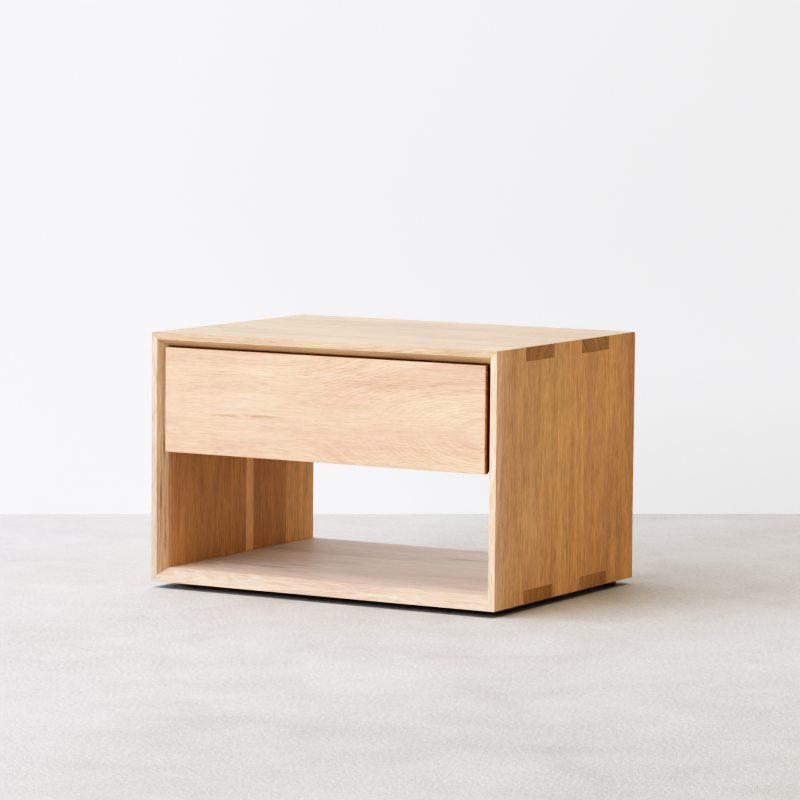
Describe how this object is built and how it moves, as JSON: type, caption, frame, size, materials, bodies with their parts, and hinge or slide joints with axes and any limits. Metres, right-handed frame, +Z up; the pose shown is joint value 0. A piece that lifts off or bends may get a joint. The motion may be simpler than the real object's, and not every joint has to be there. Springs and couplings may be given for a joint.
{
  "type": "bedside table",
  "caption": "Low oak bedside table: bevelled open box with visible tenons, a handle-less drawer on telescopic slides above and an open compartment below.",
  "frame": {"origin": "on the floor under the middle of the table", "axes": "+Z up; the drawer opens towards -Y; +X is the right side seen from the front"},
  "size_m": [0.55, 0.41, 0.36],
  "materials": {
    "case_oak": "solid oak, oiled, satin",
    "drawer_front_oak": "solid oak, oiled, satin",
    "drawer_box_oak": "solid oak, lacquered, satin",
    "thin_oak_panel": "oak veneered board, lacquered, satin",
    "zinc_steel": "zinc plated, rolled",
    "bearing_steel": "bright steel balls in a thin retainer",
    "screw_steel": "zinc plated",
    "glide_nylon": "dark moulded nylon, matte"
  },
  "bodies": {
    "case": {"back_left_glide": "glide_nylon", "back_left_glide_screw_1": "screw_steel", "back_panel": "thin_oak_panel", "back_right_glide": "glide_nylon", "back_right_glide_screw_1": "screw_steel", "bottom_panel": "case_oak", "front_left_glide": "glide_nylon", "front_left_glide_screw_1": "screw_steel", "front_right_glide": "glide_nylon", "front_right_glide_screw_1": "screw_steel", "left_cabinet_rail": "zinc_steel", "left_cabinet_rail_screw_1": "screw_steel", "left_cabinet_rail_screw_2": "screw_steel", "left_cabinet_rail_screw_3": "screw_steel", "left_side_panel": "case_oak", "right_cabinet_rail": "zinc_steel", "right_cabinet_rail_screw_1": "screw_steel", "right_cabinet_rail_screw_2": "screw_steel", "right_cabinet_rail_screw_3": "screw_steel", "right_side_panel": "case_oak", "top_panel": "case_oak"},
    "drawer": {"drawer_bottom": "thin_oak_panel", "drawer_box_back": "drawer_box_oak", "drawer_box_front": "drawer_box_oak", "drawer_box_left_side": "drawer_box_oak", "drawer_box_right_side": "drawer_box_oak", "drawer_front": "drawer_front_oak", "drawer_front_screw_1": "screw_steel", "drawer_front_screw_2": "screw_steel", "drawer_front_screw_3": "screw_steel", "drawer_front_screw_4": "screw_steel", "left_drawer_rail": "zinc_steel", "left_drawer_rail_screw_1": "screw_steel", "left_drawer_rail_screw_2": "screw_steel", "left_drawer_rail_screw_3": "screw_steel", "right_drawer_rail": "zinc_steel", "right_drawer_rail_screw_1": "screw_steel", "right_drawer_rail_screw_2": "screw_steel", "right_drawer_rail_screw_3": "screw_steel"},
    "left_inner_ball_cage": {"left_inner_ball_cage": "bearing_steel"},
    "left_middle_rail": {"left_middle_rail": "zinc_steel"},
    "left_outer_ball_cage": {"left_outer_ball_cage": "bearing_steel"},
    "right_inner_ball_cage": {"right_inner_ball_cage": "bearing_steel"},
    "right_middle_rail": {"right_middle_rail": "zinc_steel"},
    "right_outer_ball_cage": {"right_outer_ball_cage": "bearing_steel"}
  },
  "joints": [
    {"name": "drawer_slide", "type": "slide", "parent": "case", "child": "drawer", "axis": [0, -1, 0], "range_m": [0, 0.35]},
    {"name": "left_middle_rail_slide", "type": "slide", "parent": "case", "child": "left_middle_rail", "axis": [0, -1, 0], "range_m": [0, 0.175]},
    {"name": "left_outer_ball_cage_slide", "type": "slide", "parent": "case", "child": "left_outer_ball_cage", "axis": [0, -1, 0], "range_m": [0, 0.0875]},
    {"name": "left_inner_ball_cage_slide", "type": "slide", "parent": "case", "child": "left_inner_ball_cage", "axis": [0, -1, 0], "range_m": [0, 0.2625]},
    {"name": "right_middle_rail_slide", "type": "slide", "parent": "case", "child": "right_middle_rail", "axis": [0, -1, 0], "range_m": [0, 0.175]},
    {"name": "right_outer_ball_cage_slide", "type": "slide", "parent": "case", "child": "right_outer_ball_cage", "axis": [0, -1, 0], "range_m": [0, 0.0875]},
    {"name": "right_inner_ball_cage_slide", "type": "slide", "parent": "case", "child": "right_inner_ball_cage", "axis": [0, -1, 0], "range_m": [0, 0.2625]}
  ],
  "couplings": [
    {"joint": "left_middle_rail_slide", "follows": "drawer_slide", "ratio": 0.5},
    {"joint": "left_outer_ball_cage_slide", "follows": "drawer_slide", "ratio": 0.25},
    {"joint": "left_inner_ball_cage_slide", "follows": "drawer_slide", "ratio": 0.75},
    {"joint": "right_middle_rail_slide", "follows": "drawer_slide", "ratio": 0.5},
    {"joint": "right_outer_ball_cage_slide", "follows": "drawer_slide", "ratio": 0.25},
    {"joint": "right_inner_ball_cage_slide", "follows": "drawer_slide", "ratio": 0.75}
  ]
}
